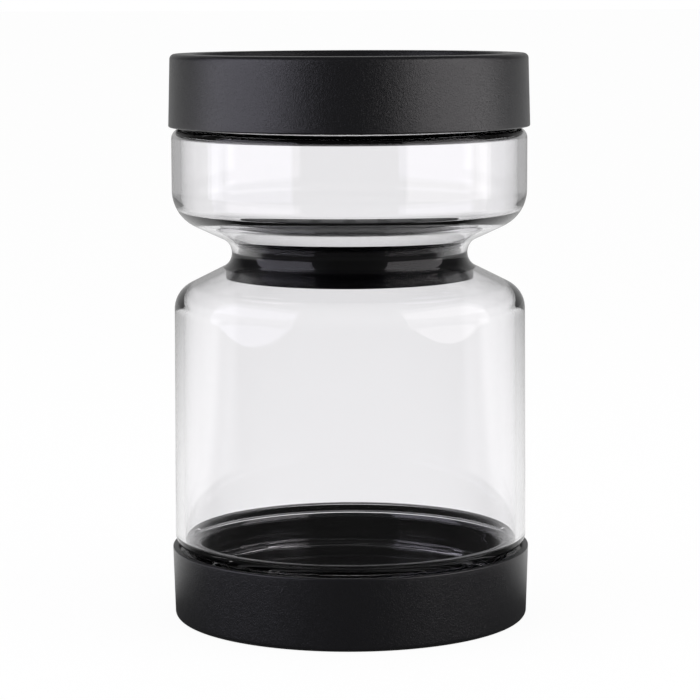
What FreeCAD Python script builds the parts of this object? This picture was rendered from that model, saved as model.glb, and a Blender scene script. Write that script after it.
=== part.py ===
import FreeCAD, Part
import math
import os
import re
import Sketcher

# A glass jar with an hourglass waist, open at both ends, with the same screw lid on each end and a
# strainer sealed into the waist. It stands on its lower lid. Lengths are millimetres, Z is up, and
# the origin is the centre of the circle that it stands on.

SIZES = [
    # name, size, what it is
    ("total_height", 165.0, "standing face of the base lid to rim of the top lid"),
    ("lid_radius", 52.5, "lid at its open edge, where it is widest"),
    ("lid_height", 21.0, "open edge to rim"),
    ("lid_draft", 0.6, "how far the lid's side leans in over its height"),
    ("lid_corner", 1.5, "rounding of the rim's outer corner"),
    ("lid_edge", 0.4, "rounding of open edges"),
    ("cover_wall", 1.8, "side wall of the outer shell"),
    ("cover_plate", 1.6, "closed face of the outer shell"),
    ("rim_width", 6.3, "lid's side to the inner edge of the raised rim's crest"),
    ("rim_slope", 1.4, "rim's inner slope, from crest to sunk disc"),
    ("rim_web", 0.9, "inside of that slope, measured outwards from its outside"),
    ("rim_round", 0.7, "rounding of the rim's inner corners"),
    ("recess_depth", 2.5, "rim crest down to the sunk disc"),
    ("snap_depth", 0.35, "snap bead inside the shell's open edge"),
    ("snap_height", 0.7, "snap bead along the wall"),
    ("snap_inset", 0.7, "open edge to the snap bead"),
    ("liner_gap", 0.6, "between the shell's side and the inner cup's side"),
    ("liner_wall", 1.5, "side wall of the inner cup"),
    ("liner_plate", 1.4, "closed face of the inner cup"),
    ("flange_height", 1.2, "flange at the inner cup's open edge"),
    ("flange_gap", 0.1, "between the flange and the shell around it"),
    ("plug_wall", 1.2, "ring that centres the gasket"),
    ("plug_depth", 3.0, "how far that ring reaches into the mouth"),
    ("gasket_gap", 0.3, "gasket to the ring, and its overhang inside the lip"),
    ("gasket_thickness", 1.5, "flat silicone gasket"),
    ("thread_lead", 4.5, "rise of the screw in one turn"),
    ("thread_depth", 1.6, "height of each thread above its wall"),
    ("thread_foot", 2.3, "width of a thread at its wall"),
    ("thread_crest", 1.0, "width of a thread at its crest"),
    ("thread_inset", 0.4, "thread's ends to the rounded edges of its wall"),
    ("thread_gap", 0.4, "crest of each thread to the wall that it faces"),
    ("neck_root", 1.2, "rounding where the neck meets the shoulder"),
    ("shoulder_gap", 0.3, "lid's open edge to the glass shoulder"),
    ("shoulder_round", 3.2, "rounding of the shoulder"),
    ("lip_round", 0.9, "rounding of the lip"),
    ("glass_wall", 2.7, "glass, at the sides and the necks"),
    ("waist_wall", 1.7, "glass at the waist, where it is drawn thinner"),
    ("lid_overhang", 0.8, "lid's side beyond the side of the chambers"),
    ("throat_depth", 57.7, "rim of the top lid down to the narrowest ring of the waist"),
    ("throat_radius", 34.4, "outside of the glass there"),
    ("throat_round", 4.8, "rounding of the waist, seen from the side"),
    ("floor_rise", 0.466, "rise of the small chamber's floor for each unit outwards"),
    ("floor_round", 11.3, "rounding between that floor and the side"),
    ("inner_rise", 0.583, "the same rise inside, steeper because the glass is heavy in the corner"),
    ("inner_round", 3.9, "rounding between floor and side, inside"),
    ("shoulder_fall", 0.5, "fall of the large chamber's shoulder for each unit outwards"),
    ("large_round", 7.9, "rounding between that shoulder and the side"),
    ("large_taper", 0.5, "how much narrower the large chamber is at its shoulder"),
    ("seat_clearance", 0.1, "seal to glass at the waist"),
    ("seal_wall", 3.0, "seal from its bore to the crests of its ribs"),
    ("seal_land", 0.9, "plain band of the seal above the narrowest ring"),
    ("seal_rib_depth", 0.7, "ribs of the seal above their grooves"),
    ("seal_rib_pitch", 1.5, "one rib and its groove"),
    ("seal_rib_round", 0.25, "rounding of a rib's crest"),
    ("skirt_reach", 3.4, "edge of the skirt beyond the seal's plain band"),
    ("skirt_edge", 0.8, "flat width of the skirt's edge"),
    ("skirt_wall", 2.4, "skirt, measured across its slope"),
    ("skirt_round", 0.3, "rounding of the skirt's edge"),
    ("plate_rise", 6.3, "top of the strainer's disc above the narrowest ring"),
    ("plate_reveal", 0.1, "top of the disc above the seal around it"),
    ("plate_inset", 1.3, "rim of the strainer's disc inside the seal's ribs"),
    ("plate_gap", 0.1, "between the disc's rim and the seal around it"),
    ("plate_thickness", 1.6, "strainer's disc"),
    ("plate_edge", 0.3, "rounding of the disc's rim"),
    ("collar_wall", 1.6, "strainer's collar, which carries the seal"),
    ("collar_gap", 0.1, "between the collar and the seal"),
    ("barb_depth", 0.8, "barb that keeps the seal on the collar"),
    ("barb_height", 1.0, "barb along the collar"),
    ("drain_radius", 2.0, "one drain hole"),
    ("drain_pitch", 10.0, "spacing of the drain holes, both ways"),
    ("drain_margin", 2.0, "collar to the nearest drain hole"),
]

# What follows from the sizes, in the sheet's own words.
LID_EDGE = "(total_height - lid_height)"
LID_TOP_RADIUS = "(lid_radius - lid_draft)"
RIM_RADIUS = "(lid_radius - lid_draft - rim_width)"
RECESS_RADIUS = "(lid_radius - lid_draft - rim_width - rim_slope)"
COVER_BORE = "(lid_radius - cover_wall)"
COVER_FLOOR = "(total_height - recess_depth)"
LINER_TOP = f"({COVER_FLOOR} - cover_plate)"
LINER_CEILING = f"({LINER_TOP} - liner_plate)"
LINER_RADIUS = f"({LID_TOP_RADIUS} - cover_wall - liner_gap)"
LINER_BORE = f"({LINER_RADIUS} - liner_wall)"
FLANGE = f"({LID_EDGE} + snap_inset + snap_height)"
LIP = f"({LINER_CEILING} - gasket_thickness)"
SHOULDER = f"({LID_EDGE} - shoulder_gap)"
NECK = f"({LINER_BORE} - thread_gap - thread_depth)"
NECK_BORE = f"({NECK} - glass_wall)"
PLUG = f"({NECK_BORE} - 2 * gasket_gap)"
CHAMBER = "(lid_radius - lid_overhang)"
LINER_THREAD = f"({FLANGE} + lid_edge + thread_inset + thread_foot / 2)"
NECK_THREAD = f"({LINER_THREAD} + thread_lead / 2)"
TURNS = f"({LIP} - lip_round - thread_inset - thread_foot / 2 - {NECK_THREAD}) / thread_lead"
THROAT = "(total_height - throat_depth)"
SEAT = "(waist_wall + seat_clearance)"
SEAL = f"(throat_radius - {SEAT})"
SEAL_TOP = f"({THROAT} + plate_rise - plate_reveal)"
PLATE_FOOT = f"({THROAT} + plate_rise - plate_thickness)"
SEAL_BORE = f"({SEAL} - seal_wall)"
SEAL_MOUTH = f"({SEAL_BORE} + barb_depth)"
SKIRT = f"({SEAL} + skirt_reach)"
PLATE = f"({SEAL} - plate_inset)"
COLLAR = f"({SEAL_BORE} - collar_gap)"


def floor_level(radius, inset, rise):
    """Height of the small chamber's sloping floor, on a surface set in from the outside."""
    rounding = f"(throat_round + {inset}) * sqrt(1 + {rise} ^ 2)"
    run = f"({radius} - throat_radius - throat_round)"
    return f"({THROAT} + {rounding} + {run} * {rise})"


def shoulder_level(radius, inset):
    """Height of the large chamber's sloping shoulder, on a surface set in from the outside."""
    rounding = f"(throat_round + {inset}) * sqrt(1 + shoulder_fall ^ 2)"
    run = f"({radius} - throat_radius - throat_round)"
    return f"({THROAT} - {rounding} - {run} * shoulder_fall)"


def waist_radius(inset, rise):
    """Where the floor and the shoulder would meet, if the waist between them were sharp."""
    slants = f"(sqrt(1 + {rise} ^ 2) + sqrt(1 + shoulder_fall ^ 2))"
    run = f"(throat_round + {inset}) * {slants} / ({rise} + shoulder_fall)"
    return f"(throat_radius + throat_round - {run})"


SEAL_FOOT = shoulder_level(SEAL_MOUTH, f"{SEAT} + skirt_wall")

doc = FreeCAD.newDocument("Keeper")
sheet = doc.addObject("Spreadsheet::Sheet", "Sizes")


def fill_sheet():
    """One row for each size: its name, its value and what it is."""
    for row, (name, value, meaning) in enumerate(SIZES, start=1):
        sheet.set(f"A{row}", name)
        sheet.set(f"B{row}", str(value))
        sheet.set(f"C{row}", meaning)
        sheet.setAlias(f"B{row}", name)
    doc.recompute()


def size(name):
    """A size as a number, read from the sheet."""
    return float(sheet.get(name))


def tied(formula):
    """A formula with each of the sheet's words pointed at its cell."""
    return re.sub(r"\b[a-z]+(?:_[a-z]+)*\b(?!\()", lambda word: "Sizes." + word.group(), formula)


def new_body(name):
    body = doc.addObject("PartDesign::Body", name)
    body.Label = name
    return body


def new_sketch(body, name, plane):
    """An empty sketch on one of the body's own origin planes."""
    sketch = body.newObject("Sketcher::SketchObject", name)
    support = next(f for f in body.Origin.OriginFeatures if f.Role == plane)
    sketch.AttachmentSupport = [(support, "")]
    sketch.MapMode = "FlatFace"
    return sketch


def tie(sketch, formula, *terms):
    """Add a constraint whose value follows a formula."""
    index = sketch.addConstraint(Sketcher.Constraint(*terms))
    sketch.setExpression(f"Constraints[{index}]", tied(formula))


def outline(body, name, points):
    """A closed outline beside the axis. Each point is (radius, height), in the sheet's words.

    Its corners start on a circle beside the axis, and the constraints then pull them to their places.
    """
    sketch = new_sketch(body, name, "XZ_Plane")
    count = len(points)
    reach = size("lid_radius") / 2
    places = []
    for number in range(count):
        turn = -2 * math.pi * number / count
        start = FreeCAD.Vector(math.cos(turn), math.sin(turn), 0) * reach
        places.append(start + FreeCAD.Vector(size("lid_radius"), size("total_height") / 2, 0))
    for number in range(count):
        end = places[(number + 1) % count]
        sketch.addGeometry(Part.LineSegment(places[number], end), False)
    for number, (radius, height) in enumerate(points):
        after = (number + 1) % count
        sketch.addConstraint(Sketcher.Constraint("Coincident", number, 2, after, 1))
        if radius == "0":
            sketch.addConstraint(Sketcher.Constraint("PointOnObject", number, 1, -2))
        else:
            tie(sketch, radius, "DistanceX", -1, 1, number, 1, places[number].x)
        tie(sketch, height, "DistanceY", -1, 1, number, 1, places[number].y)
    doc.recompute()
    return sketch


def bend(sketch, side, radius):
    """Turn one side of an outline into an arc that is hollow on the outside of the solid."""
    chord = sketch.Geometry[side]
    along = chord.EndPoint - chord.StartPoint
    inwards = FreeCAD.Vector(along.y, -along.x, 0)
    middle = (chord.StartPoint + chord.EndPoint) / 2 + inwards / 8
    sketch.toggleConstruction(side)
    arc = sketch.addGeometry(Part.Arc(chord.StartPoint, middle, chord.EndPoint), False)
    turn = sketch.Geometry[arc]
    first = 1 if turn.StartPoint.distanceToPoint(chord.StartPoint) < 0.001 else 2
    sketch.addConstraint(Sketcher.Constraint("Coincident", arc, first, side, 1))
    sketch.addConstraint(Sketcher.Constraint("Coincident", arc, 3 - first, side, 2))
    tie(sketch, radius, "Radius", arc, turn.Radius)
    doc.recompute()


def turned(body, name, corners, bends=()):
    """A solid turned about Z. Each corner is (radius, height) or (radius, height, rounding)."""
    sketch = outline(body, f"{name}_outline", [corner[:2] for corner in corners])
    for side, radius in bends:
        bend(sketch, side, radius)
    solid = body.newObject("PartDesign::Revolution", name)
    solid.Profile = sketch
    solid.ReferenceAxis = (sketch, ["V_Axis"])
    solid.Angle = 360
    doc.recompute()
    rings = {}
    for number, corner in enumerate(corners):
        if len(corner) == 3:
            start = sketch.Geometry[number].StartPoint
            rings.setdefault(corner[2], []).append((start.x, start.y))
    for rounding, spots in rings.items():
        round_rings(body, spots, rounding)


def round_rings(body, spots, rounding):
    """Round the circular edges about Z that have these radii and heights."""
    names = []
    for number, edge in enumerate(body.Tip.Shape.Edges, start=1):
        if not isinstance(edge.Curve, Part.Circle):
            continue
        here = (edge.Curve.Radius, edge.Curve.Center.z)
        if any(math.dist(here, spot) < 0.001 for spot in spots):
            names.append(f"Edge{number}")
    if len(names) != len(spots):
        raise ValueError(f"{body.Label} has {len(names)} of the {len(spots)} rings to round")
    base = body.Tip
    fillet = body.newObject("PartDesign::Fillet", f"{body.Name}_rounding")
    fillet.Base = (base, names)
    fillet.setExpression("Radius", tied(rounding))
    doc.recompute()


def helical_ridge(body, name, wall, height, inward=False, downward=False):
    """A screw thread: a ridge on a round wall, carried along a right-hand helix."""
    out, back = ("-", "+") if inward else ("+", "-")
    root = f"{wall} {back} thread_depth / 4"
    crest = f"{wall} {out} thread_depth"
    section = outline(
        body,
        f"{name}_section",
        [
            (root, f"{height} + thread_foot / 2"),
            (crest, f"{height} + thread_crest / 2"),
            (crest, f"{height} - thread_crest / 2"),
            (root, f"{height} - thread_foot / 2"),
        ],
    )
    helix = body.newObject("PartDesign::AdditiveHelix", name)
    helix.Profile = section
    helix.ReferenceAxis = (section, ["V_Axis"])
    helix.Mode = "pitch-turns-angle"
    helix.setExpression("Pitch", tied("thread_lead"))
    helix.setExpression("Turns", tied(TURNS))
    helix.Reversed = downward
    doc.recompute()


def glass_surface(inset, waist_inset, rise, corner):
    """Corners from the top mouth to the lower one, on a surface set in from the outside."""
    neck = f"({NECK} - {inset})"
    chamber = f"({CHAMBER} - {inset})"
    large = f"({CHAMBER} - large_taper - {inset})"
    waist = waist_radius(waist_inset, rise)
    shoulder = f"({SHOULDER} - {inset})"
    return [
        (neck, LIP, "lip_round"),
        (neck, shoulder, f"neck_root + {inset}"),
        (chamber, shoulder, f"shoulder_round - {inset}"),
        (chamber, floor_level(chamber, waist_inset, rise), corner),
        (waist, floor_level(waist, waist_inset, rise), f"throat_round + {waist_inset}"),
        (large, shoulder_level(large, waist_inset), f"large_round - {inset}"),
        (chamber, f"total_height - {shoulder}", f"shoulder_round - {inset}"),
        (neck, f"total_height - {shoulder}", f"neck_root + {inset}"),
        (neck, f"total_height - {LIP}", "lip_round"),
    ]


def glass_body():
    """An hourglass, open at both ends, with a thread on each neck."""
    body = new_body("glass_body")
    outside = glass_surface("0", "0", "floor_rise", "floor_round")
    inside = glass_surface("glass_wall", "waist_wall", "inner_rise", "inner_round")
    turned(body, "glass_shell", outside + inside[::-1])
    helical_ridge(body, "top_thread", NECK, NECK_THREAD)
    helical_ridge(body, "base_thread", NECK, f"total_height - {NECK_THREAD}", downward=True)
    return body


def lid_cover(name):
    """The outer shell: a side with a little draft, a raised rim and a sunk disc."""
    body = new_body(name)
    rim_ceiling = "total_height - cover_plate"
    bead = f"{LID_EDGE} + snap_inset"
    turned(
        body,
        f"{name}_shell",
        [
            ("0", COVER_FLOOR),
            (RECESS_RADIUS, COVER_FLOOR, "rim_round"),
            (RIM_RADIUS, "total_height", "rim_round"),
            (LID_TOP_RADIUS, "total_height", "lid_corner"),
            ("lid_radius", LID_EDGE, "lid_edge"),
            (COVER_BORE, LID_EDGE, "lid_edge"),
            (COVER_BORE, bead),
            (f"{COVER_BORE} - snap_depth", f"{bead} + snap_height / 2"),
            (COVER_BORE, FLANGE),
            (f"{LID_TOP_RADIUS} - cover_wall", rim_ceiling, "rim_round"),
            (f"{RIM_RADIUS} + rim_web", rim_ceiling),
            (f"{RECESS_RADIUS} + rim_web", LINER_TOP),
            ("0", LINER_TOP),
        ],
    )
    return body


def lid_liner(name):
    """The inner cup, with the thread and the ring that centres the gasket."""
    body = new_body(name)
    flange_radius = f"{COVER_BORE} - flange_gap"
    plug_end = f"{LINER_CEILING} - plug_depth"
    turned(
        body,
        f"{name}_cup",
        [
            ("0", LINER_TOP),
            (LINER_RADIUS, LINER_TOP, "lid_edge"),
            (LINER_RADIUS, f"{FLANGE} + flange_height"),
            (flange_radius, f"{FLANGE} + flange_height"),
            (flange_radius, FLANGE),
            (LINER_BORE, FLANGE, "lid_edge"),
            (LINER_BORE, LINER_CEILING, "lid_edge"),
            (PLUG, LINER_CEILING),
            (PLUG, plug_end, "lid_edge"),
            (f"{PLUG} - plug_wall", plug_end, "lid_edge"),
            (f"{PLUG} - plug_wall", LINER_CEILING),
            ("0", LINER_CEILING),
        ],
    )
    helical_ridge(body, f"{name}_thread", LINER_BORE, LINER_THREAD, inward=True)
    return body


def lid_gasket(name):
    """A flat ring between the inner cup and the lip of the glass."""
    body = new_body(name)
    bore = f"{PLUG} + gasket_gap"
    turned(
        body,
        f"{name}_ring",
        [(bore, LINER_CEILING), (NECK, LINER_CEILING), (NECK, LIP), (bore, LIP)],
    )
    return body


def turn_over(body):
    """The lower lid is the same part, turned over about X and set at the other end."""
    body.Placement = FreeCAD.Placement(
        FreeCAD.Vector(0, 0, size("total_height")), FreeCAD.Rotation(FreeCAD.Vector(1, 0, 0), 180)
    )
    body.setExpression("Placement.Base.z", tied("total_height"))
    return body


def strainer_plate():
    """A perforated disc with a collar below it, and a barb round the collar's foot."""
    body = new_body("strainer_plate")
    top = f"{THROAT} + plate_rise"
    foot = f"{SEAL_FOOT} - barb_height"
    turned(
        body,
        "strainer_disc",
        [
            ("0", top),
            (PLATE, top, "plate_edge"),
            (PLATE, PLATE_FOOT, "plate_edge"),
            (COLLAR, PLATE_FOOT),
            (COLLAR, SEAL_FOOT),
            (f"{COLLAR} + barb_depth", f"{SEAL_FOOT} - barb_height / 2"),
            (COLLAR, foot),
            (f"{COLLAR} - collar_wall", foot),
            (f"{COLLAR} - collar_wall", PLATE_FOOT, "plate_edge"),
            ("0", PLATE_FOOT),
        ],
    )
    drains = new_sketch(body, "drain_outline", "XY_Plane")
    for across, along in drain_grid():
        centre = FreeCAD.Vector(across * size("drain_pitch"), along * size("drain_pitch"), 0)
        circle = Part.Circle(centre, FreeCAD.Vector(0, 0, 1), size("drain_radius"))
        number = drains.addGeometry(circle, False)
        tie(drains, f"drain_pitch * {across}", "DistanceX", -1, 1, number, 3, centre.x)
        tie(drains, f"drain_pitch * {along}", "DistanceY", -1, 1, number, 3, centre.y)
        tie(drains, "drain_radius", "Radius", number, size("drain_radius"))
    holes = body.newObject("PartDesign::Pocket", "drain_holes")
    holes.Profile = drains
    holes.Type = "ThroughAll"
    holes.Reversed = True
    doc.recompute()
    return body


def drain_grid():
    """Steps of the square grid of drain holes that fit inside the collar."""
    seal = size("throat_radius") - size("waist_wall") - size("seat_clearance")
    collar_bore = seal - size("seal_wall") - size("collar_gap") - size("collar_wall")
    limit = collar_bore - size("drain_margin")
    pitch = size("drain_pitch")
    reach = int(limit // pitch)
    steps = range(-reach, reach + 1)
    grid = [(across, along) for across in steps for along in steps]
    return [spot for spot in grid if math.hypot(*spot) * pitch + size("drain_radius") <= limit]


def strainer_seal():
    """The silicone seal: ribs round the disc, a plain band at the waist and a skirt along the glass."""
    body = new_body("strainer_seal")
    rim_seat = f"{PLATE} + plate_gap"
    groove = f"{SEAL} - seal_rib_depth"
    hollow = f"(throat_round + {SEAT})"
    skirt_top = f"{THROAT} - sqrt({hollow} ^ 2 - ({hollow} - skirt_reach) ^ 2)"
    edge = f"({SKIRT} - skirt_edge)"
    edge_level = shoulder_level(edge, f"{SEAT} + skirt_wall")
    ribbed = size("plate_rise") - size("plate_reveal") - size("seal_land")
    corners = [(SEAL_BORE, PLATE_FOOT), (rim_seat, PLATE_FOOT), (rim_seat, SEAL_TOP)]
    for number in range(int(ribbed // size("seal_rib_pitch"))):
        crest = f"{SEAL_TOP} - seal_rib_pitch * {number}"
        corners.append((SEAL, crest, "seal_rib_round"))
        corners.append((groove, f"{crest} - seal_rib_pitch / 2"))
    corners += [
        (SEAL, f"{THROAT} + seal_land", "seal_rib_round"),
        (SEAL, THROAT),
        (SKIRT, skirt_top, "skirt_round"),
        (SKIRT, edge_level, "skirt_round"),
        (edge, edge_level),
        (SEAL_MOUTH, SEAL_FOOT),
        (SEAL_BORE, SEAL_FOOT),
    ]
    hollow_side = corners.index((SEAL, THROAT))
    turned(body, "seal_ring", corners, [(hollow_side, hollow)])
    return body


def check(bodies):
    """Stop if a feature failed, or a piece is missing or unsound."""
    for item in doc.Objects:
        if "Invalid" in item.State or "Error" in item.State:
            raise ValueError(f"{item.Label} failed: {item.State}")
    for body in bodies:
        if body.Shape.isNull() or not body.Shape.isValid() or not body.Shape.Solids:
            raise ValueError(f"{body.Label} is not a sound solid")


fill_sheet()
pieces = [
    glass_body(),
    lid_cover("top_lid_cover"),
    lid_liner("top_lid_liner"),
    lid_gasket("top_lid_gasket"),
    turn_over(lid_cover("base_lid_cover")),
    turn_over(lid_liner("base_lid_liner")),
    turn_over(lid_gasket("base_lid_gasket")),
    strainer_plate(),
    strainer_seal(),
]
doc.recompute()
check(pieces)
os.makedirs("parts", exist_ok=True)
for piece in pieces:
    piece.Shape.exportStep(f"parts/{piece.Label}.step")
    box = piece.Shape.optimalBoundingBox()
    print(
        f"{piece.Label}: {len(piece.Shape.Solids)} solid, {piece.Shape.Volume / 1000:.2f} cm3,"
        f" height {box.ZMin:.2f} to {box.ZMax:.2f}, width {box.XLength:.2f}"
    )
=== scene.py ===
# %% [markdown]
# # A glass keeper with an hourglass waist
#
# The object is a clear jar, open at both ends, with the same black screw lid on each end. A black strainer
# sits in the waist, and a silicone seal closes the ring between it and the glass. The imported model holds
# every piece at its real size. This script gives the pieces their looks, and makes some of them again with
# more and more regular faces. That matters most for glass, which shows its facets because it bends light.

import math

import bpy
import numpy as np
from mathutils import Matrix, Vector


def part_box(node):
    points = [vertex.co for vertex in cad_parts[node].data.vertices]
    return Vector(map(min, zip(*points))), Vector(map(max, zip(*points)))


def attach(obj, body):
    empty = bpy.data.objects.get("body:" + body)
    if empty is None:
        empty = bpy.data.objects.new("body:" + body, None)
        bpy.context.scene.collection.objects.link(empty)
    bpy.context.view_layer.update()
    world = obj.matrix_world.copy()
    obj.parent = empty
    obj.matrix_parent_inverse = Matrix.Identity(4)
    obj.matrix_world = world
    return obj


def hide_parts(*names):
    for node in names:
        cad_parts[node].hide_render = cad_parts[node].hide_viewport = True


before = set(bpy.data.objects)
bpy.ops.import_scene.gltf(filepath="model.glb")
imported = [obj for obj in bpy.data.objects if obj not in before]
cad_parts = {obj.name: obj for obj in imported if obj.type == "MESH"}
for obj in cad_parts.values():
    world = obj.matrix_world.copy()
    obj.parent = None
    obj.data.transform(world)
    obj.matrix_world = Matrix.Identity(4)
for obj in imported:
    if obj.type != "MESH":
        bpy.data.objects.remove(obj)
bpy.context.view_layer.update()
scene = bpy.context.scene

# %% [markdown]
# ## Sizes
#
# The sizes in this file are the maker's own, in millimetres, and MM turns them into metres. They could all
# be written here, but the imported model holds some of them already. So what the frame can tell, such as
# where the standing face is or how wide the glass is, is read from it.

# %% Sizes
MM = 0.001


def span(node):
    """A node's lowest height, highest height and largest radius, in metres."""
    low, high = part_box(node)
    return low[2], high[2], (high[0] - low[0]) / 2


BASE, _, LID_RADIUS = span("base_lid_cover")
TOP_EDGE, TOP, _ = span("top_lid_cover")
MOUTH_LOW, MOUTH_HIGH, CHAMBER = span("glass_body")
print(f"{(TOP - BASE) / MM:.1f} mm tall and {2 * LID_RADIUS / MM:.1f} mm wide")
print(f"glass {2 * CHAMBER / MM:.1f} mm wide, from {MOUTH_LOW / MM:.1f} to {MOUTH_HIGH / MM:.1f} mm")

# %% [markdown]
# ## Camera
#
# A camera can be placed by eye, but this one was fitted to the rims of the two lids, whose ovals show how
# far it looks down. It stands 781 mm in front of the jar's axis, a little above the top rim, and looks down
# by 7.39 degrees. Its focal length is given in pixels of a picture 700 pixels wide, which a 36 mm sensor
# turns into millimetres of lens. A small roll matches the lean of the picture.

# %% Camera
PICTURE = 700
FOCAL_PIXELS = 2681
SENSOR = 36.0
CAMERA_AWAY = 0.781
CAMERA_HEIGHT = 0.1796
LOOK_DOWN = 7.39
LEAN = -0.2
NEAREST = 0.01

camera_data = bpy.data.cameras.new("camera")
camera_data.sensor_width = SENSOR
camera_data.lens = FOCAL_PIXELS / PICTURE * SENSOR
camera_data.clip_start = NEAREST
camera = bpy.data.objects.new("camera", camera_data)
scene.collection.objects.link(camera)
camera.location = (0, -CAMERA_AWAY, CAMERA_HEIGHT)
pitch = Matrix.Rotation(math.radians(90 - LOOK_DOWN), 3, "X")
roll = Matrix.Rotation(math.radians(LEAN), 3, "Z")
camera.rotation_euler = (pitch @ roll).to_euler()
scene.camera = camera
print(f"lens {camera_data.lens:.1f} mm")

# %% [markdown]
# ## Outlines
#
# Glass, lids and seal are all round, so each is one outline carried round the axis. An outline is a list of
# corners, and a corner may have a rounding. Its arc touches both sides, so its centre lies on the line that
# halves the corner, and it starts at rounding / tan(half the angle) from the corner. A Bevel modifier could
# round the finished piece, but it wouldn't give each corner the radius that it has on the real one.

# %% Outlines
OUTLINE_STEP = 0.6 * MM
ARC_STEP = math.radians(6)


def rounded(corners, step=OUTLINE_STEP):
    """An outline through corners of (radius, height, rounding), as an array of points.

    Straight runs get a point every step, and an arc gets one every ARC_STEP of its turn.
    """
    points = np.array([corner[:2] for corner in corners], dtype=float)
    roundings = np.array([corner[2] if len(corner) > 2 else 0.0 for corner in corners])
    pieces = [points[:1]]
    for number in range(1, len(points) - 1):
        corner = points[number]
        if roundings[number] == 0:
            pieces.append(corner[None])
            continue
        back = points[number - 1] - corner
        ahead = points[number + 1] - corner
        pieces.append(arc(corner, back, ahead, roundings[number]))
    pieces.append(points[-1:])
    return evenly(np.concatenate(pieces), step)


def arc(corner, back, ahead, rounding):
    """Points on the arc that touches both sides of a corner, turned about its centre by equal angles.

    The centre lies rounding / sin(half the angle) from the corner, on the line that halves it.
    """
    back = back / np.linalg.norm(back)
    ahead = ahead / np.linalg.norm(ahead)
    angle = math.acos(np.clip(back @ ahead, -1, 1))
    start = corner + back * rounding / math.tan(angle / 2)
    middle = (back + ahead) / np.linalg.norm(back + ahead)
    centre = corner + middle * rounding / math.sin(angle / 2)
    turn = math.pi - angle
    side = np.sign(back[0] * ahead[1] - back[1] * ahead[0])
    turns = np.linspace(0, turn, max(2, math.ceil(turn / ARC_STEP)) + 1) * -side
    across, up = start - centre
    radii = across * np.cos(turns) - up * np.sin(turns)
    heights = across * np.sin(turns) + up * np.cos(turns)
    return centre + np.stack([radii, heights], axis=1)


def evenly(outline, step):
    """The same outline, with its long straight runs cut into lengths of about one step.

    The step is a length, or a function that gives one for the two ends of a run.
    """
    pieces = []
    for start, end in zip(outline[:-1], outline[1:]):
        length = step(start, end) if callable(step) else step
        count = max(1, math.ceil(np.linalg.norm(end - start) / length))
        share = np.arange(count)[:, None] / count
        pieces.append(start + (end - start) * share)
    pieces.append(outline[-1:])
    return np.concatenate(pieces)


square = [(0, 0), (10 * MM, 0, 1 * MM), (10 * MM, 10 * MM)]
print("two sides of a square, 10 mm each, with a rounded corner:", len(rounded(square)), "points")

# %% [markdown]
# ## Surfaces of revolution
#
# Blender's Screw modifier could carry an outline round the axis too. Here the grid of points is worked out
# with numpy, because the threads change its radii point by point. The volume shows whether a mesh is closed
# and which way its faces point: it is positive only if they point outwards.

# %% Surfaces of revolution
ON_AXIS = 1e-9
CUBIC_CENTIMETRE = 1e-6


def revolve(name, outline, around, closed=False, shape=None):
    """A mesh of the outline carried round Z: x = radius cos(turn), y = radius sin(turn), z = height.

    A point on the axis becomes one vertex with a fan of triangles. shape may change the radii, given
    the radius, turn and height of every point of the grid. closed joins the outline's two ends.
    """
    turns = np.arange(around) * 2 * math.pi / around
    on_axis = outline[:, 0] < ON_AXIS
    ring = outline[~on_axis]
    radius, turn = np.meshgrid(ring[:, 0], turns, indexing="ij")
    height = np.broadcast_to(ring[:, 1][:, None], radius.shape)
    if shape is not None:
        radius = shape(radius, turn, height)
    places = np.stack([radius * np.cos(turn), radius * np.sin(turn), height], axis=-1).reshape(-1, 3)
    rows = len(ring)
    lower = np.arange(rows if closed else rows - 1)[:, None]
    upper = (lower + 1) % rows
    here = np.arange(around)
    after = (here + 1) % around
    sides = (lower * around + here, lower * around + after, upper * around + after, upper * around + here)
    faces = np.stack(np.broadcast_arrays(*sides), axis=-1).reshape(-1, 4).tolist()
    if on_axis[0]:
        pole = len(places)
        places = np.concatenate([places, [[0, 0, outline[0, 1]]]])
        faces += np.stack([np.full(around, pole), after, here], axis=1).tolist()
    if on_axis[-1]:
        pole = len(places)
        places = np.concatenate([places, [[0, 0, outline[-1, 1]]]])
        last = (rows - 1) * around
        faces += np.stack([np.full(around, pole), last + here, last + after], axis=1).tolist()
    return smooth_piece(name, places, faces)


def smooth_piece(name, places, faces):
    """A smooth object of those points and faces, with its size printed."""
    mesh = bpy.data.meshes.new(name)
    mesh.from_pydata(places.tolist(), [], faces)
    mesh.polygons.foreach_set("use_smooth", np.ones(len(mesh.polygons), dtype=bool))
    mesh.update()
    piece = bpy.data.objects.new(name, mesh)
    scene.collection.objects.link(piece)
    print(f"{name}: {len(mesh.polygons)} faces, {signed_volume(mesh) / CUBIC_CENTIMETRE:.2f} cm3")
    return piece


def signed_volume(mesh):
    """Volume by the divergence rule: a sixth of each triangle's corner product, positive if outwards."""
    mesh.calc_loop_triangles()
    corners = np.empty(len(mesh.loop_triangles) * 3, dtype=np.int32)
    mesh.loop_triangles.foreach_get("vertices", corners)
    places = np.empty(len(mesh.vertices) * 3)
    mesh.vertices.foreach_get("co", places)
    a, b, c = places.reshape(-1, 3)[corners.reshape(-1, 3)].transpose(1, 0, 2)
    return float(np.einsum("ij,ij->i", a, np.cross(b, c)).sum() / 6)


# %% [markdown]
# ## Glass
#
# The jar's wall is 2.7 mm, drawn thinner at the waist and heavy in the small chamber's corner. A Solidify
# modifier would give one outside surface the same wall everywhere. So both surfaces are made here, from the
# same corners, one set in from the other, and inside, the small chamber's floor is steeper.
#
# A sloping floor above the waist and a sloping shoulder below it meet in the rounding of the waist. A circle
# of radius R that touches a line of slope s has its centre R times the root of (1 + s squared) above or below
# that line, which is how both slopes are placed from the narrowest ring. The neck is as wide as the gasket
# that lies on its lip.

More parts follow.
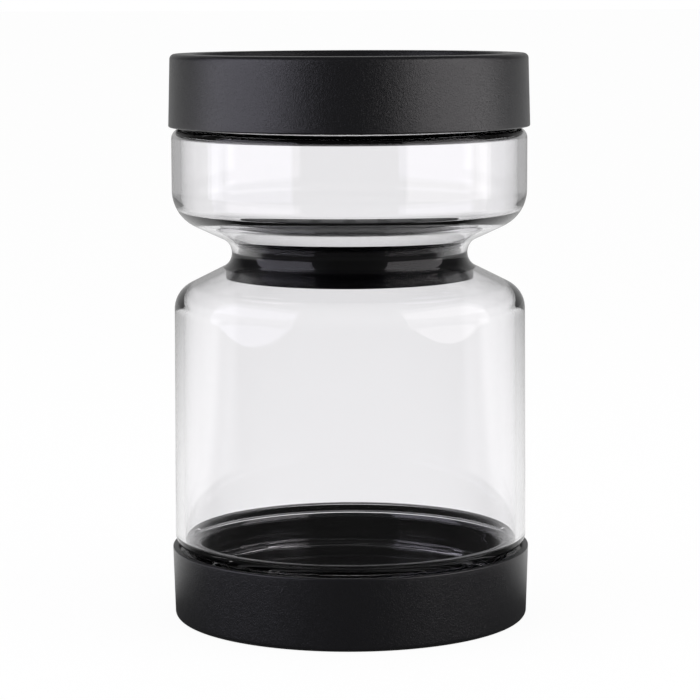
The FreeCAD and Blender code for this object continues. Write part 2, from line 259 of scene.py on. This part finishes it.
# %% Glass corners
GLASS_WALL = 2.7 * MM
WAIST_WALL = 1.7 * MM
NECK = span("top_lid_gasket")[2]
LIP_MIDDLE = NECK - GLASS_WALL / 2
LID_GAP = 0.3 * MM
SHOULDER = TOP_EDGE - LID_GAP
SHOULDER_ROUND = 3.2 * MM
NECK_ROOT = 1.2 * MM
LIP_ROUND = 0.9 * MM
THROAT_HEIGHT = BASE + 107.3 * MM
THROAT_RADIUS = 34.4 * MM
THROAT_ROUND = 4.8 * MM
FLOOR_RISE = 0.466
FLOOR_ROUND = 11.3 * MM
INNER_RISE = 0.583
INNER_ROUND = 3.9 * MM
SHOULDER_FALL = 0.5
LARGE_ROUND = 7.9 * MM
LARGE_TAPER = 0.5 * MM


def turned_over(height):
    """The same height measured on the jar turned over: base + top - height."""
    return BASE + TOP - height


def floor_level(radius, inset, rise):
    """Height of the small chamber's floor: throat + (round + inset) root(1 + rise²) + run x rise."""
    run = radius - THROAT_RADIUS - THROAT_ROUND
    return THROAT_HEIGHT + (THROAT_ROUND + inset) * math.hypot(1, rise) + run * rise


def shoulder_level(radius, inset):
    """Height of the large chamber's shoulder: throat - (round + inset) root(1 + fall²) - run x fall."""
    run = radius - THROAT_RADIUS - THROAT_ROUND
    return THROAT_HEIGHT - (THROAT_ROUND + inset) * math.hypot(1, SHOULDER_FALL) - run * SHOULDER_FALL


def glass_corners(inset, waist_inset, rise, corner):
    """Corners from the top mouth to the lower one, on a surface set in from the outside.

    The waist's corner is where both slopes meet: centre - (round + inset) x both roots / (rise + fall).
    """
    slants = math.hypot(1, rise) + math.hypot(1, SHOULDER_FALL)
    waist = THROAT_RADIUS + THROAT_ROUND - (THROAT_ROUND + waist_inset) * slants / (rise + SHOULDER_FALL)
    neck = NECK - inset
    chamber = CHAMBER - inset
    large = chamber - LARGE_TAPER
    shoulder = SHOULDER - inset
    return [
        (neck, MOUTH_HIGH, LIP_ROUND),
        (neck, shoulder, NECK_ROOT + inset),
        (chamber, shoulder, SHOULDER_ROUND - inset),
        (chamber, floor_level(chamber, waist_inset, rise), corner),
        (waist, floor_level(waist, waist_inset, rise), THROAT_ROUND + waist_inset),
        (large, shoulder_level(large, waist_inset), LARGE_ROUND - inset),
        (chamber, turned_over(shoulder), SHOULDER_ROUND - inset),
        (neck, turned_over(shoulder), NECK_ROOT + inset),
        (neck, MOUTH_LOW, LIP_ROUND),
    ]


print(f"small chamber's floor at the wall {floor_level(CHAMBER, 0, FLOOR_RISE) / MM:.1f} mm above the table")

# %% [markdown]
# The screw thread on each neck is a ridge that follows a right-hand helix: its middle rises by one lead in
# each turn. It could be a strip of its own, joined to the neck, but glass has no seam there. So on the grid
# it is only a change of radius. A point's distance from the ridge's middle, along the wall, sets how far it
# stands out, with a flat crest and straight flanks. The lower neck is the upper one turned over about X,
# which swaps the sense of both the height and the turn. Only the necks need rows close together for it.

# %% Thread on the necks
THREAD_LEAD = 4.5 * MM
THREAD_DEPTH = 1.6 * MM
THREAD_FOOT = 2.3 * MM
THREAD_CREST = 1.0 * MM
THREAD_START = TOP_EDGE + 5.6 * MM
THREAD_TURNS = 1.32
THREAD_STEP = 0.5 * MM
WALL_STEP = 1.2 * MM
NECK_MARGIN = 0.1 * MM
GLASS_AROUND = 180


def threaded(radius, turn, height):
    """Radii with the ridge added: depth x flank, where flank falls from 1 to 0 between crest and foot."""
    outside = radius > LIP_MIDDLE
    added = np.zeros_like(radius)
    for way, level in ((1, height), (-1, turned_over(height))):
        wound = np.mod(way * turn, 2 * math.pi) / (2 * math.pi)
        for whole in range(math.ceil(THREAD_TURNS)):
            middle = THREAD_START + THREAD_LEAD * (wound + whole)
            away = np.abs(level - middle)
            flank = np.clip((THREAD_FOOT / 2 - away) / (THREAD_FOOT - THREAD_CREST) * 2, 0, 1)
            added = np.maximum(added, THREAD_DEPTH * flank * (wound + whole <= THREAD_TURNS))
    return radius + added * outside


def glass_step(start, end):
    """A short step on the outside of a neck, where the thread needs its rows, and a longer one elsewhere."""
    on_neck = max(abs(start[0] - NECK), abs(end[0] - NECK)) < NECK_MARGIN
    return THREAD_STEP if on_neck else WALL_STEP


glass_outline = rounded(
    [(LIP_MIDDLE, MOUTH_HIGH)]
    + glass_corners(0, 0, FLOOR_RISE, FLOOR_ROUND)
    + [(LIP_MIDDLE, MOUTH_LOW)]
    + glass_corners(GLASS_WALL, WAIST_WALL, INNER_RISE, INNER_ROUND)[::-1]
    + [(LIP_MIDDLE, MOUTH_HIGH)],
    step=glass_step,
)
glass = revolve("glass", glass_outline[:-1][::-1], GLASS_AROUND, closed=True, shape=threaded)

# %% [markdown]
# ## Nodes
#
# A material and a world both keep their shader as a tree of nodes. These helpers add a node, set what it is
# given, and link it, so that each finish below can be read as one or two lines.

# %% Nodes
def principled(name, **inputs):
    """A new material and its Principled shader, with the shader's inputs set by name."""
    material = bpy.data.materials.new(name)
    material.use_nodes = True
    shader = material.node_tree.nodes["Principled BSDF"]
    for key, value in inputs.items():
        shader.inputs[key.replace("_", " ")].default_value = value
    return material, shader


def add_node(owner, kind, **values):
    """A node of that kind. A value whose name is one of its inputs goes there, and others on the node."""
    made = owner.node_tree.nodes.new(kind)
    for key, value in values.items():
        if key.replace("_", " ") in made.inputs:
            made.inputs[key.replace("_", " ")].default_value = value
        else:
            setattr(made, key, value)
    return made


def give(owner, socket, value):
    """Set a socket to a number, or link another node's output to it."""
    if isinstance(value, float):
        socket.default_value = value
    else:
        owner.node_tree.links.new(value, socket)


def object_noise(material, scale, detail, roughness=0.5, distortion=0.0):
    """Noise over the piece in metres, so a scale of 1000 has features of about a millimetre."""
    place = add_node(material, "ShaderNodeTexCoord")
    noise = add_node(
        material,
        "ShaderNodeTexNoise",
        Scale=scale,
        Detail=detail,
        Roughness=roughness,
        Distortion=distortion,
    )
    give(material, noise.inputs["Vector"], place.outputs["Object"])
    return noise.outputs["Fac"]


def bump(material, shader, height, strength, distance):
    """Lean the shader's normal by a height pattern, of that many metres at full strength."""
    made = add_node(material, "ShaderNodeBump", Strength=strength, Distance=distance)
    give(material, made.inputs["Height"], height)
    give(material, shader.inputs["Normal"], made.outputs["Normal"])


print("helpers for nodes are ready")

# %% [markdown]
# ## Clear glass
#
# Clear glass needs little more than its index of refraction. Each surface that a ray passes takes away a few
# hundredths of it. Real jars are never perfectly even, so a very slow, very shallow bump makes the
# reflections of straight edges waver a little, as blown glass does.

# %% Clear glass
clear_glass, shader = principled(
    "clear_glass", Base_Color=(0.97, 0.966, 0.976, 1), Roughness=0.0, IOR=1.5, Transmission_Weight=1.0
)
waver = object_noise(clear_glass, scale=45, detail=1)
bump(clear_glass, shader, waver, strength=0.12, distance=0.2 * MM)
glass.data.materials.append(clear_glass)
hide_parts("glass_body")
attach(glass, "jar")
print(glass.name, "has", glass.data.materials[0].name)

# %% [markdown]
# ## Strainer seal
#
# The seal is soft black silicone. It stands up round the strainer's disc as a thin ribbed wall, has a plain
# band at the narrowest ring, and a skirt that follows the glass below it. Pressed against the glass it has
# no air between the two, so it looks black right up to the edge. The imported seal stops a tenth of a
# millimetre short of the glass, and that gap can show as a bright line. So the seal is made again here, and
# its band and skirt press into the glass by a few hundredths of a millimetre.

# %% Seal sizes
PRESS = 0.03 * MM
SEAT_GAP = 0.1 * MM
SEAL_WALL = 3.0 * MM
BARB_DEPTH = 0.8 * MM
PLATE_THICKNESS = 1.6 * MM
PLATE_GAP = 0.1 * MM
SKIRT_WALL = 2.4 * MM
SKIRT_EDGE = 0.8 * MM
SKIRT_ROUND = 0.3 * MM
SKIRT_POINTS = 16
RIBS = 3
RIB_PITCH = 1.5 * MM
RIB_DEPTH = 0.7 * MM
RIB_ROUND = 0.25 * MM
LAND = 0.9 * MM
SEAL_AROUND = 200

_, SEAL_TOP, SKIRT_RADIUS = span("strainer_seal")
_, PLATE_TOP, PLATE_RADIUS = span("strainer_plate")
SEAL_RADIUS = THROAT_RADIUS - WAIST_WALL + PRESS
SEAL_BORE = THROAT_RADIUS - WAIST_WALL - SEAT_GAP - SEAL_WALL
SEAL_MOUTH = SEAL_BORE + BARB_DEPTH
PLATE_FOOT = PLATE_TOP - PLATE_THICKNESS
RIM_SEAT = PLATE_RADIUS + PLATE_GAP
print(f"seal radius {SEAL_RADIUS / MM:.2f} mm at the waist, {SKIRT_RADIUS / MM:.2f} mm at the skirt")

# %% [markdown]
# The skirt follows the hollow of the glass, which is an arc round the same centre as the rounding of the
# waist. Points on it are cosines and sines of equal turns, up to the turn at which the skirt ends.

# %% Seal outline
groove = SEAL_RADIUS - RIB_DEPTH
hollow = THROAT_ROUND + WAIST_WALL - PRESS
hollow_centre = THROAT_RADIUS + THROAT_ROUND
skirt_turn = math.acos((hollow_centre - SKIRT_RADIUS) / hollow)
hollow_side = [
    (hollow_centre - hollow * math.cos(turn), THROAT_HEIGHT - hollow * math.sin(turn))
    for turn in np.linspace(0, skirt_turn, SKIRT_POINTS)
]
edge = SKIRT_RADIUS - SKIRT_EDGE
edge_level = shoulder_level(edge, WAIST_WALL + SEAT_GAP + SKIRT_WALL)
seal_foot = shoulder_level(SEAL_MOUTH, WAIST_WALL + SEAT_GAP + SKIRT_WALL)
ribs = []
for number in range(RIBS):
    crest = SEAL_TOP - RIB_PITCH * number
    ribs += [(SEAL_RADIUS, crest, RIB_ROUND), (groove, crest - RIB_PITCH / 2)]
seal_outline = rounded(
    [(SEAL_BORE, PLATE_FOOT), (RIM_SEAT, PLATE_FOOT), (RIM_SEAT, SEAL_TOP)]
    + ribs
    + [(SEAL_RADIUS, THROAT_HEIGHT + LAND, RIB_ROUND)]
    + hollow_side
    + [(SKIRT_RADIUS, edge_level, SKIRT_ROUND), (edge, edge_level), (SEAL_MOUTH, seal_foot)]
    + [(SEAL_BORE, seal_foot), (SEAL_BORE, PLATE_FOOT)]
)
seal = revolve("seal", seal_outline[:-1][::-1], SEAL_AROUND, closed=True)

# %% [markdown]
# Silicone against glass hardly reflects, because the two bend light almost alike. So its specular level is
# low, and the sharp reflections at the waist are left to the glass in front of it.

# %% Silicone
silicone, shader = principled(
    "silicone", Base_Color=(0.004, 0.004, 0.006, 1), Roughness=0.3, Specular_IOR_Level=0.12
)
bump(silicone, shader, object_noise(silicone, scale=900, detail=2), strength=0.1, distance=0.05 * MM)
seal.data.materials.append(silicone)
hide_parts("strainer_seal")
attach(seal, "strainer")
print(seal.name, "has", seal.data.materials[0].name)

# %% [markdown]
# ## Lids
#
# Each lid's cover is a moulded shell: a side with a little draft, a raised rim and a sunk disc. The packed
# cover could be used as it is, but its triangles are very uneven in size. It is made again as a grid, whose
# faces stay small and regular under the long soft reflection on its side. The outline starts on the axis, so
# the disc closes in a fan of triangles. Its corners are given as they are before their rounding, and LID_SIDE
# is therefore a little more than the widest place of the finished lid.

# %% Lid outline
LID_SIDE = 52.5 * MM
COVER_WALL = 1.8 * MM
COVER_PLATE = 1.6 * MM
LID_DRAFT = 0.6 * MM
RIM_WIDTH = 6.3 * MM
RIM_SLOPE = 1.4 * MM
RIM_WEB = 0.9 * MM
RECESS_DEPTH = 2.5 * MM
LID_CORNER = 1.5 * MM
RIM_ROUND = 0.7 * MM
EDGE_ROUND = 0.4 * MM
LID_STEP = 1.5 * MM


def cover_outline():
    """The shell's outline, from the axis across the sunk disc, over the rim, down the side and back."""
    top_radius = LID_SIDE - LID_DRAFT
    rim = top_radius - RIM_WIDTH
    recess = rim - RIM_SLOPE
    ceiling = TOP - RECESS_DEPTH - COVER_PLATE
    return [
        (0, TOP - RECESS_DEPTH),
        (recess, TOP - RECESS_DEPTH, RIM_ROUND),
        (rim, TOP, RIM_ROUND),
        (top_radius, TOP, LID_CORNER),
        (LID_SIDE, TOP_EDGE, EDGE_ROUND),
        (LID_SIDE - COVER_WALL, TOP_EDGE, EDGE_ROUND),
        (top_radius - COVER_WALL, TOP - COVER_PLATE, RIM_ROUND),
        (rim + RIM_WEB, TOP - COVER_PLATE),
        (recess + RIM_WEB, ceiling),
        (0, ceiling),
    ]


upper_outline = rounded(cover_outline(), step=LID_STEP)
print("one cover's outline has", len(upper_outline), "points")

# %% [markdown]
# The mould's surface is etched, which leaves a fine wrinkled grain on the plastic. It is a tenth of a
# millimetre deep, too fine for geometry, so a bump makes it: noise bent by its own distortion runs in short
# wrinkles instead of dots. The lower lid is the upper one turned over, so its outline has its heights
# mirrored and runs the other way.

# %% Grained plastic and both covers
LID_AROUND = 240

lid_plastic, shader = principled(
    "lid_plastic", Base_Color=(0.003, 0.003, 0.005, 1), Roughness=0.3, Specular_IOR_Level=1.0
)
grain = object_noise(lid_plastic, scale=1500, detail=3, roughness=0.6, distortion=1.5)
bump(lid_plastic, shader, grain, strength=0.6, distance=0.15 * MM)

lower_outline = upper_outline * (1, -1) + (0, BASE + TOP)
covers = {
    "top_cover": (upper_outline[::-1], "top_lid_cover", "top_lid"),
    "base_cover": (lower_outline, "base_lid_cover", "base_lid"),
}
for name, (outline, node, body) in covers.items():
    cover = revolve(name, outline, LID_AROUND)
    cover.data.materials.append(lid_plastic)
    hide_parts(node)
    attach(cover, body)

# %% [markdown]
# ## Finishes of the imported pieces
#
# The inner cups, the gaskets and the strainer's disc could be made again too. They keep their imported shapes,
# which are fine enough for how little of them is seen, and only get a finish. The cups are smooth and glossy,
# the gaskets are silicone like the seal, and the disc is satin with a faint grain.

# %% Inner cups, gaskets and strainer
liner_plastic, shader = principled(
    "liner_plastic", Base_Color=(0.012, 0.012, 0.013, 1), Roughness=0.16, Specular_IOR_Level=0.5
)
flow = object_noise(liner_plastic, scale=120, detail=1)
bump(liner_plastic, shader, flow, strength=0.1, distance=0.1 * MM)
strainer_plastic, shader = principled(
    "strainer_plastic", Base_Color=(0.03, 0.032, 0.036, 1), Roughness=0.3, Specular_IOR_Level=0.5
)
satin = object_noise(strainer_plastic, scale=1400, detail=2)
bump(strainer_plastic, shader, satin, strength=0.12, distance=0.05 * MM)
finishes = {
    "top_lid_liner": liner_plastic,
    "base_lid_liner": liner_plastic,
    "top_lid_gasket": silicone,
    "base_lid_gasket": silicone,
    "strainer_plate": strainer_plastic,
}
for node, material in finishes.items():
    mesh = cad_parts[node].data
    mesh.materials.clear()
    mesh.materials.append(material)
    print(node, "has", material.name)

# %% [markdown]
# ## Studio
#
# The camera sees white behind the jar, also through the glass, and the room in front of it is dim. More
# light would bleach the object, so the white is only shown to some rays. A Light Path node tells which rays
# those are: straight from the camera, straight through glass, or reflected.

# %% Rays
HALF_A_BOUNCE = 0.5


def seen_straight(owner):
    """A Light Path node, and 1 for a ray that has passed through glass and hasn't been reflected, else 0.

    The second is Is Transmission Ray x (Glossy Depth + Diffuse Depth < half a bounce).
    """
    path = add_node(owner, "ShaderNodeLightPath")
    bounces = computed(owner, "ADD", path.outputs["Glossy Depth"], path.outputs["Diffuse Depth"])
    straight = computed(owner, "LESS_THAN", bounces, HALF_A_BOUNCE)
    return path, computed(owner, "MULTIPLY", path.outputs["Is Transmission Ray"], straight)


def computed(owner, operation, first, second):
    """The result of a Math node on two values, each a number or another node's output."""
    made = add_node(owner, "ShaderNodeMath", operation=operation)
    give(owner, made.inputs[0], first)
    give(owner, made.inputs[1], second)
    return made.outputs[0]


def pick(owner, chooser, first, second):
    """A Mix node on numbers: first where the chooser is 0, second where it is 1."""
    mix = add_node(owner, "ShaderNodeMix", data_type="FLOAT")
    give(owner, mix.inputs["Factor"], chooser)
    give(owner, mix.inputs["A"], first)
    give(owner, mix.inputs["B"], second)
    return mix.outputs["Result"]


def along_y(owner, coordinate):
    """The Y part of a texture coordinate: how far behind the jar a place or a direction is."""
    place = add_node(owner, "ShaderNodeTexCoord")
    split = add_node(owner, "ShaderNodeSeparateXYZ")
    give(owner, split.inputs[0], place.outputs[coordinate])
    return split.outputs["Y"]


def faded(owner, value, start, end, at_start, at_end):
    """A Map Range node: at_start up to the start, at_end past the end, and a straight fade between."""
    made = add_node(
        owner, "ShaderNodeMapRange", From_Min=start, From_Max=end, To_Min=at_start, To_Max=at_end
    )
    give(owner, made.inputs["Value"], value)
    return made.outputs["Result"]


print("helpers for rays are ready")

# %% [markdown]
# The world is plain light for matt surfaces. Reflections see a dim room that grows brighter only straight
# behind the jar. A picture of a real room could do this as well, but it would bring its own colours.

# %% World
AMBIENT = 0.6
ROOM = 0.07
FAR = 0.45
BEHIND_START = 0.6
BEHIND_END = 1.0
WHITE = 1.0

world = bpy.data.worlds.new("studio")
scene.world = world
world.use_nodes = True
world.node_tree.nodes.clear()
behind = faded(world, along_y(world, "Generated"), BEHIND_START, BEHIND_END, ROOM, FAR)
path, through_glass = seen_straight(world)
strength = pick(world, path.outputs["Is Glossy Ray"], AMBIENT, behind)
strength = pick(world, through_glass, strength, WHITE)
strength = pick(world, path.outputs["Is Camera Ray"], strength, WHITE)
background = add_node(world, "ShaderNodeBackground", Color=(1, 1, 1, 1))
give(world, background.inputs["Strength"], strength)
out = add_node(world, "ShaderNodeOutputWorld")
give(world, out.inputs["Surface"], background.outputs["Background"])
print(f"ambient {AMBIENT}, reflected {ROOM} to {FAR}, seen {WHITE}")

# %% [markdown]
# Two large softboxes stand to the left and the right of the jar, a little in front of it, and make the two
# soft bands down each lid. They are Area lamps, whose reflection has their own shape and size. A Point lamp
# would leave a small hard spot instead. The left one is a little more violet than the right one. A softbox's
# power is its radiance times pi times its area.

# %% Softboxes
SOFTBOX_TURN = math.radians(68)
SOFTBOX_AWAY = 0.74
SOFTBOX_WIDTH = 0.92
SOFTBOX_HEIGHT = 0.8
SOFTBOX_FOOT = 0.004
SOFTBOX_RADIANCE = 1.15
SOFTBOX_TINTS = {-1: (0.88, 0.86, 1.0), 1: (1.0, 0.96, 0.98)}
for side, tint in SOFTBOX_TINTS.items():
    lamp = bpy.data.lights.new(f"softbox_{'left' if side < 0 else 'right'}", "AREA")
    lamp.shape = "RECTANGLE"
    lamp.size = SOFTBOX_WIDTH
    lamp.size_y = SOFTBOX_HEIGHT
    lamp.energy = SOFTBOX_RADIANCE * math.pi * SOFTBOX_WIDTH * SOFTBOX_HEIGHT
    lamp.color = tint
    softbox = bpy.data.objects.new(lamp.name, lamp)
    scene.collection.objects.link(softbox)
    across = side * math.sin(SOFTBOX_TURN) * SOFTBOX_AWAY
    towards = -math.cos(SOFTBOX_TURN) * SOFTBOX_AWAY
    softbox.location = (across, towards, SOFTBOX_HEIGHT / 2 + SOFTBOX_FOOT)
    softbox.rotation_euler = (math.pi / 2, 0, side * SOFTBOX_TURN)
    print(lamp.name, f"{lamp.energy:.1f} W")

# %% [markdown]
# The floor is pale paint that catches the jar's shadow. A lamp could light it until it is white, but would
# bleach the jar as well, so most of what the camera sees of it is a white glow, and the shadow stays faint.
# In reflections the floor shows a painted glow instead of its paint: bright painted light close behind the
# jar, to lighten the edges of the lower lid, dimmer further back, and painted shade in front.

# %% Floor
FLOOR_REACH = 60.0
FLOOR_GREY = 0.75
FLOOR_GLOW = 1.06
GLOW_SHARE = 0.88
NEAR = 0.9
NEAR_START = 0.01
NEAR_END = 0.07
FAR_START = 0.2
FAR_END = 0.8


def mixed(owner, share, first, second):
    """A Mix Shader node: the first shader where the share is 0, the second where it is 1."""
    made = add_node(owner, "ShaderNodeMixShader")
    give(owner, made.inputs[0], share)
    give(owner, made.inputs[1], first)
    give(owner, made.inputs[2], second)
    return made.outputs[0]


floor_mesh = bpy.data.meshes.new("floor")
corners = [(x * FLOOR_REACH, y * FLOOR_REACH, 0) for x, y in ((-1, -1), (1, -1), (1, 1), (-1, 1))]
floor_mesh.from_pydata(corners, [], [(0, 1, 2, 3)])
floor = bpy.data.objects.new("floor", floor_mesh)
scene.collection.objects.link(floor)

floor_paint, paint = principled(
    "floor_paint", Base_Color=(FLOOR_GREY, FLOOR_GREY, FLOOR_GREY, 1), Roughness=0.9
)
path, through_glass = seen_straight(floor_paint)
away = along_y(floor_paint, "Object")
near_side = faded(floor_paint, away, NEAR_START, NEAR_END, ROOM, NEAR)
far_side = faded(floor_paint, away, FAR_START, FAR_END, NEAR, FAR)
# Painted glow that reflections see on the floor: painted light behind the jar, painted shade in front of it.
painted_glow = add_node(floor_paint, "ShaderNodeEmission")
give(floor_paint, painted_glow.inputs["Strength"], computed(floor_paint, "MINIMUM", near_side, far_side))
# Reflected rays get the painted glow, and all other rays get the floor's paint.
paint_or_painted_glow = mixed(floor_paint, path.outputs["Is Glossy Ray"], paint.outputs[0], painted_glow.outputs[0])
glow = add_node(floor_paint, "ShaderNodeEmission", Strength=FLOOR_GLOW)
seen = computed(floor_paint, "MAXIMUM", path.outputs["Is Camera Ray"], through_glass)
share = computed(floor_paint, "MULTIPLY", seen, GLOW_SHARE)
shown = mixed(floor_paint, share, paint_or_painted_glow, glow.outputs[0])
give(floor_paint, floor_paint.node_tree.nodes["Material Output"].inputs["Surface"], shown)
floor_mesh.materials.append(floor_paint)
print(f"floor {2 * FLOOR_REACH:.0f} m wide, {GLOW_SHARE:.0%} of it glow where it is seen straight")

# %% [markdown]
# ## Finish
#
# Standard is the view that shows a colour as it is written.

# %% Finish
scene.view_settings.view_transform = "Standard"
